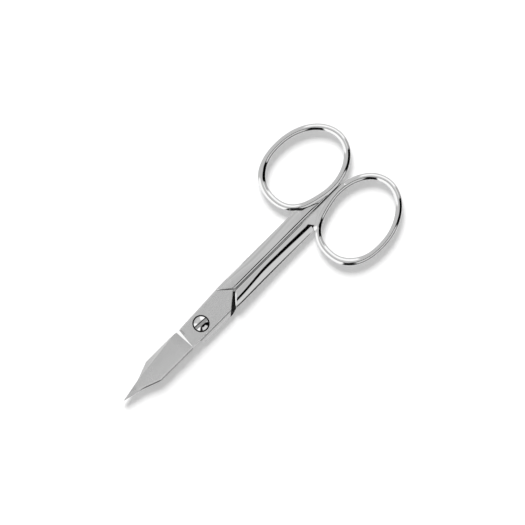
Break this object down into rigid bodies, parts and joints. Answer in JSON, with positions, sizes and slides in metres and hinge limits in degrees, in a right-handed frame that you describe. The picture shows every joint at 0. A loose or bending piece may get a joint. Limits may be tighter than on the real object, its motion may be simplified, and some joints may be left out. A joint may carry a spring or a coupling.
{
  "type": "nail scissors",
  "caption": "Nail scissors with oval finger rings, rounded forged shanks, crossed halves on a slotted pivot screw and short straight blades that taper to a fine point.",
  "frame": {"origin": "on the pivot axis, in the plane of the flat back of the joint, where the pivot screw's end is flush", "axes": "+Z along the pivot axis towards the screw's slotted head, +Y along the closed scissors towards the finger rings, the blades point to -Y"},
  "size_m": [0.0392, 0.0901, 0.004],
  "materials": {
    "upper_steel": "satin, fine-brushed on the blade, polished on the shank and ring",
    "lower_steel": "satin, fine-brushed on the blade, polished on the shank and ring",
    "screw_steel": "polished"
  },
  "bodies": {
    "lower": {"lower_half": "lower_steel", "pivot_screw": "screw_steel"},
    "upper": {"upper_half": "upper_steel"}
  },
  "joints": [
    {"name": "pivot", "type": "hinge", "parent": "lower", "child": "upper", "pos_m": [0, 0, 0.0017], "axis": [0, 0, 1], "range_deg": [0, 125]}
  ]
}
